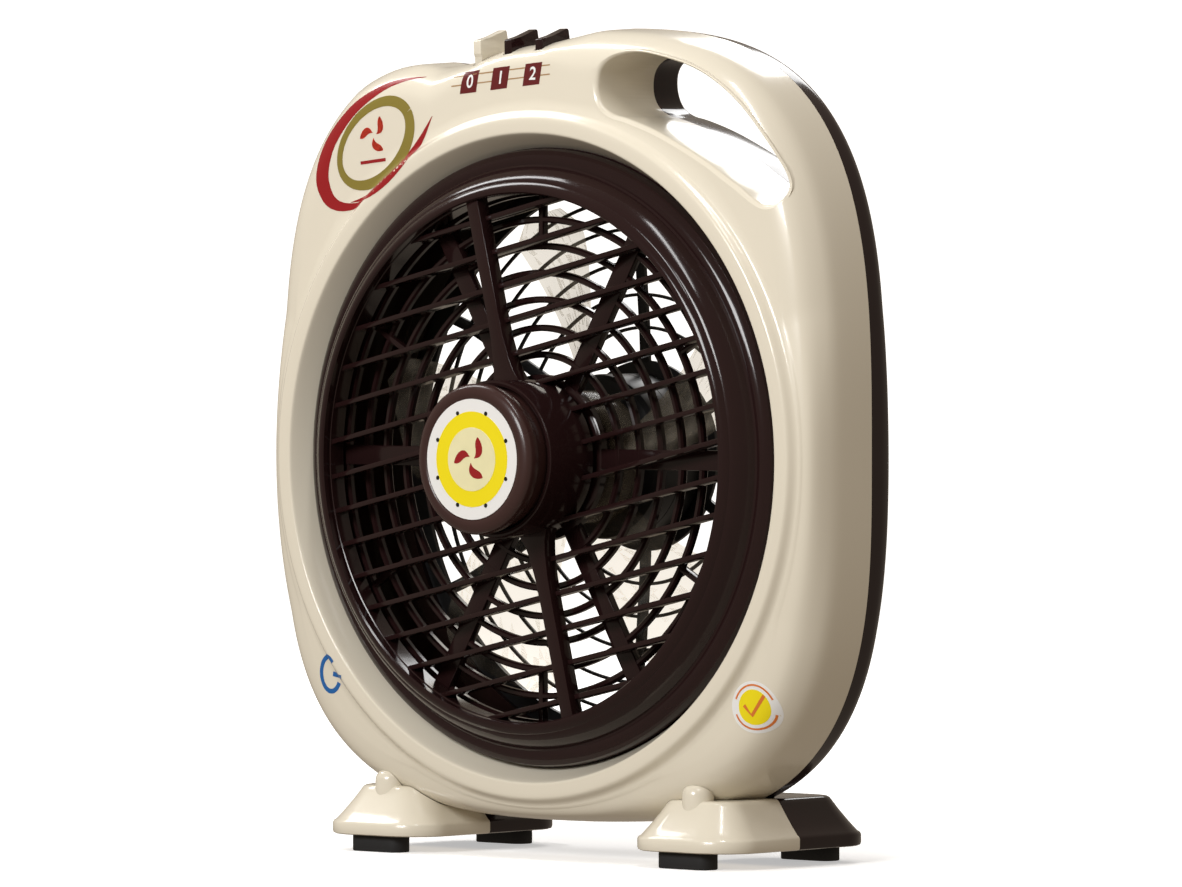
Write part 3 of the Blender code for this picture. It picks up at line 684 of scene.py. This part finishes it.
bm = bmesh.new()
for ring in GRILLE_RINGS:
    y = grille_y(ring)
    section = [(ring - 1, y + 0.2), (ring + 1, y + 0.2), (ring + 1, y + 3), (ring - 1, y + 3)]
    spin(bm, chaikin(section, 1, True), 144)
spin(bm, [(13, 108), (58, 108), (58, 110.4), (57, 111.2), (13, 111.2)], 96)
spin(bm, GRILLE_RIM, 160)
for n in range(6):
    part = bmesh.new()
    rows = []
    for radius in (56, 78, 98, 118, 138, 156, 168):
        y = grille_y(radius)
        rows.append([(radius, y, -3.5), (radius, y, 3.5), (radius, y + 3.2, 3.5), (radius, y + 3.2, -3.5)])
    loft(part, rows)
    soften(part, 0.5)
    turn_part(part, math.pi / 6 + n * math.pi / 3)
    absorb(bm, part)
finish_piece(bm, "grille_look", BLACK, "housing", ("rear_grille",))

# %% [markdown]
# ## Impeller
# Five wide blades leave a clear hub. A blade is a thin curved sheet: the leading edge is further
# forward and the sheet twists towards the tip. Solidify gives it its thickness.

# %% Impeller
BLADES = 5
BLADE_ROOT = 38.5
BLADE_TIP = 150.0
bm = bmesh.new()
cup = (
    (4.3, 28), (33, 28), (36, 28.7), (38.4, 30.6), (40, 34), (40, 61.5), (37.6, 61.5), (37.6, 35), (36, 32.5),
    (32, 31), (9, 31), (9, 58), (4.3, 58),
)
spin(bm, cup, 96)
for n in range(BLADES):
    sheet = bmesh.new()
    across = 18
    along = 16
    grid = []
    for i in range(along + 1):
        part = i / along
        radius = BLADE_ROOT + (BLADE_TIP - BLADE_ROOT) * part
        chord = 0.62 - 0.06 * part - 0.20 * max(0.0, (part - 0.86) / 0.14) ** 2
        row = []
        for k in range(across + 1):
            s = k / across - 0.5
            angle = 2 * math.pi * n / BLADES + 0.2 + 0.30 * part + chord * s
            y = 45.8 + (15.0 - 2.0 * part) * 2 * s + 12.0 * (0.25 - s * s) * part
            row.append(sheet.verts.new((radius * math.cos(angle), y, radius * math.sin(angle))))
        grid.append(row)
    for a, b in zip(grid, grid[1:]):
        for k in range(across):
            sheet.faces.new((a[k], a[k + 1], b[k + 1], b[k]))
    bmesh.ops.solidify(sheet, geom=list(sheet.faces), thickness=1.4)
    absorb(bm, sheet)
finish_piece(bm, "impeller_look", SMOKE, "spinner", ("impeller",))

# %% [markdown]
# ## Motor
# The motor shows only through the guard and the rear grille, so turned shapes are enough.

# %% Motor
MOTOR_FRONT = (
    (5, 64), (43, 64), (47, 65), (49.4, 67.6), (50, 71), (50, 85.6), (46.8, 85.6), (46.8, 70.6), (44.5, 68.3),
    (43, 67), (12, 67), (12, 73), (9.3, 73), (9.3, 66.8), (5, 66.8),
)
MOTOR_REAR = (
    (0, 107.2), (43, 107.2), (47, 106.6), (49.4, 104.6), (50, 101), (50, 86.2), (46.8, 86.2), (46.8, 101),
    (44.5, 103.3), (43, 104), (12, 104), (12, 98.5), (9.3, 98.5), (9.3, 104), (8, 106.7), (0, 106.7),
)
spun("motor_front_look", MOTOR_FRONT, BLACK, "housing", ("motor_front_shield",))
spun("motor_rear_look", MOTOR_REAR, BLACK, "housing", ("motor_rear_shield",))
NUT = (
    (0, 19.6), (5, 19.6), (9, 20.4), (11.6, 22), (12.4, 24.4), (12.5, 27.6), (3.5, 27.6), (3.5, 20.8), (0, 20.8),
)
spun("blade_nut_look", NUT, BLACK, "spinner", ("blade_nut",), 48)

# %% [markdown]
# ## Keys
# Each key is a thin blade cut from one side outline, with softened edges.

# %% Keys
KEY_SIDE = (
    (15, 230), (15, 241), (13.2, 243), (13, 250.6), (13.8, 251.5), (17, 252.0), (23, 253.5), (29, 255.6),
    (35, 257.9), (36.2, 257.9), (37, 257), (38.4, 250), (37, 248), (37, 230),
)


def key(number, x, paint):
    bm = bmesh.new()
    loft(bm, [[(x + dx, y, z) for y, z in KEY_SIDE] for dx in (-3, 3)])
    soften(bm, 0.5)
    finish_piece(bm, f"key_{number}_look", paint, f"key_{number}_body", (f"key_{number}",), 40)


for number, x in enumerate(KEY_PLACES):
    key(number, x, BROWN if number else CREAM)


# %% [markdown]
# ## Feet and pads
# A foot is a stack of rounded rectangles, from a thin flange up a sloped skirt to a small deck. It
# is split at the seam into a cream and a dark half, and shaped to the housing it hugs.

# %% Feet and pads
FOOT_X = 123.5
FOOT_ROWS = (
    (40.5, 26.0, -231.0, -6.6), (42.1, 27.0, -230.4, -7.7), (42.5, 27.0, -229.0, -8.0),
    (42.5, 27.0, -224.2, -8.0), (42.0, 27.0, -223.0, -7.5), (40.6, 26.0, -222.0, -6.0),
    (36.2, 23.6, -216.6, -2.0), (31.0, 20.0, -209.4, 3.5), (27.4, 17.0, -204.2, 7.2),
    (26.0, 16.0, -202.2, 8.6), (24.6, 15.0, -201.3, 10.0), (22.8, 14.0, -201.0, 11.8),
)
DOME_LINE = (
    (0, -214), (9.6, -214), (9.6, -197.5), (9.1, -195.2), (7.6, -193.0), (5.0, -191.5), (2.4, -190.9), (0, -190.8),
)
DOME_Y = 15.0


def rounded(half, corner, z, front, x):
    back = 124.0 - front
    loop = []
    spots = (
        (half - corner, back - corner, 0), (corner - half, back - corner, 90),
        (corner - half, front + corner, 180), (half - corner, front + corner, 270),
    )
    for cx, cy, start in spots:
        for k in range(13):
            turn = math.radians(start + 7.5 * k)
            loop.append((x + cx + corner * math.cos(turn), cy + corner * math.sin(turn), z))
    return loop


def envelope():
    """The whole housing as one closed solid, a little grown, to shape the feet."""
    line = [(90, 1.0)] + [(LIP_FOOT, 5.2)] + [(REACH - d, y - 0.3) for d, y in FRONT_SECTION[:-1]]
    line += [(REACH, 58), (REACH - 0.8, 70.2), (REACH - 3, 75.3), (REACH - 8, 78.3), (REACH - 18, 80.8)]
    line += [(200, 84.3), (90, 90.3)]
    bm = bmesh.new()
    spin(bm, [(0, 1.0)] + chaikin(line, 1) + [(0, 90.3)], 240, closed=False)
    push_out(bm, 0.35)
    return helper(bm, "envelope")


def half_block(front, x):
    bm = bmesh.new()
    middle = 158.0 if front else -41.7
    add_bar(bm, (x, middle, -200), (90, 100, 60))
    return helper(bm, "half")


def dome(x):
    bm = bmesh.new()
    spin(bm, DOME_LINE, 48, closed=False)
    for v in bm.verts:
        v.co = Vector((v.co.x + x, v.co.z + DOME_Y, v.co.y))
    return helper(bm, "dome")


def foot(side, front):
    word = "left" if side < 0 else "right"
    place = "front" if front else "rear"
    x = side * FOOT_X
    bm = bmesh.new()
    loft(bm, [rounded(half, corner, z, start, x) for half, corner, z, start in FOOT_ROWS])
    paint = CREAM if front else BROWN
    name = f"foot_{place}_{word}"
    piece = finish_piece(bm, name + "_look", paint, "housing", (name,))
    if front:
        bake(piece, [dome(x)], "UNION")
    bake(piece, [half_block(front, x), envelope()], "DIFFERENCE")


for side in (-1, 1):
    foot(side, True)
    foot(side, False)
    for y, place in ((6.0, "front"), (118.0, "rear")):
        word = "left" if side < 0 else "right"
        bm = bmesh.new()
        add_bar(bm, (side * FOOT_X, y, -241 + 4.85), (20, 8, 4.85))
        upright = [e for e in bm.edges if abs(e.verts[0].co.z - e.verts[1].co.z) > 5]
        soften(bm, 7.0, upright, 8)
        rims = [e for e in bm.edges if abs(e.verts[0].co.z - e.verts[1].co.z) < 0.1]
        soften(bm, 0.7, rims)
        name = f"pad_{place}_{word}"
        finish_piece(bm, name + "_look", RUBBER, "housing", (name,))

# %% [markdown]
# ## Printed marks
# Prints are thin skins laid on the face: every point is dropped onto the housing and lifted by a
# tenth of a millimetre.

# %% Printed marks
face_tree = tree_of(front)


def lay(bm, name, paint, lift=0.12, pitch=2.0):
    """Cuts a flat print into small squares, then drops every point onto the face."""
    for axis in (0, 2):
        ends = [v.co[axis] for v in bm.verts]
        cut = math.ceil(min(ends) / pitch) * pitch
        while cut < max(ends):
            spot = [0.0, 0.0, 0.0]
            spot[axis] = cut
            way = [0.0, 0.0, 0.0]
            way[axis] = 1.0
            geom = list(bm.verts) + list(bm.edges) + list(bm.faces)
            bmesh.ops.bisect_plane(bm, geom=geom, plane_co=spot, plane_no=way)
            cut += pitch
    for v in list(bm.verts):
        y = drape(face_tree, v.co.x, v.co.z, -30.0)
        v.co.y = 8.0 if y is None else y - lift
    finish_piece(bm, name, paint, "housing", sharp=60)


def band(points, widths):
    """A flat ribbon along a line of points, with its own width at each."""
    bm = bmesh.new()
    line = np.array(points)
    along = np.gradient(line, axis=0)
    out = np.stack((along[:, 1], -along[:, 0]), axis=1)
    out /= np.linalg.norm(out, axis=1)[:, None]
    rows = []
    for (x, z), (nx, nz), wide in zip(line, out, widths):
        rows.append([bm.verts.new((x + nx * wide * s, 0, z + nz * wide * s)) for s in (-0.5, -0.17, 0.17, 0.5)])
    for a, b in zip(rows, rows[1:]):
        for k in range(3):
            bm.faces.new((a[k], a[k + 1], b[k + 1], b[k]))
    return bm


def arc(centre, size, start, stop, lean=0.0, count=60):
    points = []
    for k in range(count + 1):
        turn = math.radians(start + (stop - start) * k / count)
        a = size[0] * math.cos(turn)
        b = size[1] * math.sin(turn)
        points.append((
            centre[0] + a * math.cos(lean) - b * math.sin(lean),
            centre[1] + a * math.sin(lean) + b * math.cos(lean),
        ))
    return points


def sweep(rows, count=90):
    """A smooth ribbon through rows of (x, z, width)."""
    spots = [(k, *row) for k, row in enumerate(rows)]
    points = []
    widths = []
    for k in range(count + 1):
        t = (len(rows) - 1) * k / count
        points.append((ease(t, [(r[0], r[1]) for r in spots]), ease(t, [(r[0], r[2]) for r in spots])))
        widths.append(max(0.3, ease(t, [(r[0], r[3]) for r in spots])))
    return band(points, widths)


SWOOSH = (
    (-94, 230, 0.3), (-109, 228, 2.2), (-126, 223, 4.4), (-149, 210, 7.6), (-167, 191, 10.4), (-173, 172, 11.4),
    (-168, 158, 9.6), (-158, 152, 6.2), (-144, 152, 3.4), (-131, 157, 0.3),
)
HOOK = ((-148, 154, 0.3), (-131, 158, 3.6), (-115, 167, 5.6), (-100, 180, 5.8), (-89, 193, 3.6), (-81, 206, 0.3))
OVAL_LEAN = math.radians(35)
lay(sweep(SWOOSH), "swoosh", RED)
lay(sweep(HOOK), "swoosh_hook", RED)
thick = [6.2 + 1.6 * math.cos(math.radians(6 * k + 40)) for k in range(61)]
lay(band(arc((-128.5, 190), (32.5, 21.5), 0, 360, OVAL_LEAN), thick), "oval", OLIVE)
lay(fan_sign(12.0, 0.0, (-129, 195)), "mark_top", BRIGHT_RED, 0.16)
lay(band([(-140, 178), (-119, 180)], [2.0, 2.0]), "mark_line", RED, 0.16)


def slanted(x, z):
    bm = bmesh.new()
    corners = ((-7.7, -6.6), (5.7, -6.6), (7.7, 6.6), (-5.7, 6.6))
    quad = [bm.verts.new((x + a, 0, z + b + 0.08 * a)) for a, b in corners]
    bm.faces.new(quad)
    return bm


def digit(text, x, z):
    curve = bpy.data.curves.new("digit", "FONT")
    curve.body = text
    curve.size = 11.0
    curve.align_x = "CENTER"
    curve.align_y = "CENTER"
    curve.shear = 0.12
    curve.offset = 0.18
    thing = bpy.data.objects.new("digit", curve)
    bpy.context.scene.collection.objects.link(thing)
    bpy.context.view_layer.update()
    mesh = bpy.data.meshes.new_from_object(thing.evaluated_get(bpy.context.evaluated_depsgraph_get()))
    bpy.data.objects.remove(thing)
    bm = bmesh.new()
    bm.from_mesh(mesh)
    bpy.data.meshes.remove(mesh)
    for v in bm.verts:
        v.co = Vector((x + v.co.x, 0, z + v.co.y))
    return bm


for rise in (-2.6, 3.0):
    line = [(-66 + 4 * k, 226.2 + rise + 0.077 * 4 * k) for k in range(21)]
    lay(band(line, [0.8] * 21), f"label_line_{int(rise)}", GOLD, 0.06)
for number, (x, z) in enumerate(((-51, 226), (-26, 228), (0, 230))):
    lay(slanted(x, z), f"label_{number}", DARK_RED, 0.1)
    lay(digit(str(number), x, z), f"digit_{number}", WHITE, 0.22)


def round_print(name, centre, radius, paint, lift):
    bm = bmesh.new()
    made = bmesh.ops.create_circle(bm, cap_ends=True, cap_tris=True, segments=48, radius=radius)["verts"]
    bmesh.ops.rotate(bm, cent=(0, 0, 0), matrix=Matrix.Rotation(math.pi / 2, 3, "X"), verts=made)
    bmesh.ops.translate(bm, verts=made, vec=(centre[0], 0, centre[1]))
    lay(bm, name, paint, lift)


STICKER = (173.5, -144.0)
round_print("sticker_rim", STICKER, 15.5, WHITE, 0.12)
round_print("sticker_disc", STICKER, 10.5, YELLOW, 0.22)
lay(band([(167, -143), (172, -149), (181, -137)], [2.2, 2.2, 2.2]), "sticker_tick", ORANGE, 0.32)
lay(band(arc(STICKER, (13.1, 13.1), 20, 160), [1.1] * 61), "sticker_top", ORANGE, 0.22)
lay(band(arc(STICKER, (13.1, 13.1), 200, 340), [1.1] * 61), "sticker_bottom", ORANGE, 0.22)
lay(band(arc((-165, -134), (8.2, 10.8), 40, 330), [3.0] * 61), "mark_ring", BLUE)
lay(band([(-163, -134), (-157, -135), (-151.5, -136)], [3.0] * 3), "mark_bar", BLUE)

# %% [markdown]
# ## Carried-over solids
# Everything not rebuilt keeps its solid, so it only needs its paint.

# %% Carried-over solids
PAINT_OF = {
    "cream_gloss": CREAM, "brown_gloss": BROWN, "knob_brown": KNOB, "black_plastic": BLACK,
    "smoke_clear": SMOKE, "rubber_black": RUBBER, "steel": STEEL, "copper": COPPER, "badge_yellow": YELLOW,
}
slot_of = {row["node"]: row["material_slot"] for row in frame["record"]["subparts"]}
for name, node in frame["nodes"].items():
    node.data.materials.clear()
    node.data.materials.append(PAINT_OF[slot_of[name]])

# %% [markdown]
# ## Studio
# A pale round floor under a far white dome, so that the fan stands on white from every side. Neither
# of them lights or mirrors in the fan, as if black flags stood round it. The light comes from a big
# soft key, two long strips that draw the highlights on the ring, a thin side strip, a soft lamp for
# the back and a warm sky.

# %% Studio
STAGE_RADIUS = 9.0


def paper(name, near, far):
    """Pale paper whose glow grows with the distance from the fan."""
    paint = plastic(name, (0.90, 0.90, 0.90), 0.7, 0.99, 0.0, specular=0.1)
    nodes = paint.node_tree.nodes
    link = paint.node_tree.links.new
    where = nodes.new("ShaderNodeTexCoord")
    away = nodes.new("ShaderNodeVectorMath")
    away.operation = "LENGTH"
    link(where.outputs["Object"], away.inputs[0])
    glow = nodes.new("ShaderNodeMapRange")
    glow.interpolation_type = "SMOOTHSTEP"
    glow.inputs["From Min"].default_value = near
    glow.inputs["From Max"].default_value = far
    glow.inputs["To Min"].default_value = 0.45
    glow.inputs["To Max"].default_value = 1.0
    link(away.outputs["Value"], glow.inputs["Value"])
    shader = nodes["Principled BSDF"]
    shader.inputs["Emission Color"].default_value = (1, 1, 1, 1)
    link(glow.outputs["Result"], shader.inputs["Emission Strength"])
    return paint


def stage_piece(name, bm, paint):
    mesh = bpy.data.meshes.new(name)
    bm.to_mesh(mesh)
    bm.free()
    mesh.polygons.foreach_set("use_smooth", [True] * len(mesh.polygons))
    piece = bpy.data.objects.new(name, mesh)
    mesh.materials.append(paint)
    piece.visible_diffuse = False
    piece.visible_glossy = False
    piece.visible_shadow = False
    bpy.context.scene.collection.objects.link(piece)
    return piece


AZ = 41.44
EL = 1.0
DISTANCE = 5.23
TARGET = Vector((0.0523, -MID_DEPTH * MM, (AXIS_HEIGHT + 9.4) * MM))


def looking(thing, at):
    away = thing.location - at
    thing.rotation_euler = away.to_track_quat("Z", "Y").to_euler()


def view_direction(az, el):
    a = math.radians(az)
    e = math.radians(el)
    return Vector((math.sin(a) * math.cos(e), -math.cos(a) * math.cos(e), math.sin(e)))


def area_light(name, az, el, distance, width, height, power, colour=(1, 1, 1)):
    lamp = bpy.data.lights.new(name, "AREA")
    lamp.shape = "RECTANGLE"
    lamp.size = width
    lamp.size_y = height
    lamp.energy = power
    lamp.color = colour
    thing = bpy.data.objects.new(name, lamp)
    thing.location = TARGET + view_direction(az, el) * distance
    looking(thing, TARGET)
    bpy.context.scene.collection.objects.link(thing)
    return thing


bm = bmesh.new()
bmesh.ops.create_circle(bm, cap_ends=True, segments=96, radius=STAGE_RADIUS)
floor = stage_piece("floor", bm, paper("floor_paper", 0.1, 1.6))
bm = bmesh.new()
bmesh.ops.create_uvsphere(bm, u_segments=48, v_segments=24, radius=STAGE_RADIUS)
dome_wall = stage_piece("dome_wall", bm, paper("dome_paper", 0.1, 1.6))
lights = [
    area_light("key", 4, 23, 3.2, 1.2, 0.9, 70),
    area_light("top", 48, 70, 2.2, 0.16, 1.3, 12),
    area_light("side", 100, 24, 2.4, 0.10, 1.6, 0.4, (1, 0.85, 0.7)),
    area_light("back", 205, 38, 2.6, 1.0, 1.0, 16),
    area_light("left", -84, 48, 2.4, 0.45, 1.2, 18),
]
sky = bpy.data.worlds.new("sky")
sky.use_nodes = True
sky.node_tree.nodes["Background"].inputs["Color"].default_value = (1.0, 0.85, 0.69, 1)
sky.node_tree.nodes["Background"].inputs["Strength"].default_value = 0.30
bpy.context.scene.world = sky
bpy.context.scene.view_settings.view_transform = "Standard"

# %% Camera
lens = bpy.data.cameras.new("camera")
lens.lens = 267.8
lens.sensor_width = 36.0
lens.clip_end = 50.0
camera = bpy.data.objects.new("camera", lens)
camera.location = TARGET + view_direction(AZ, EL) * DISTANCE
looking(camera, TARGET)
bpy.context.scene.collection.objects.link(camera)
bpy.context.scene.camera = camera

import json

bpy.context.view_layer.update()
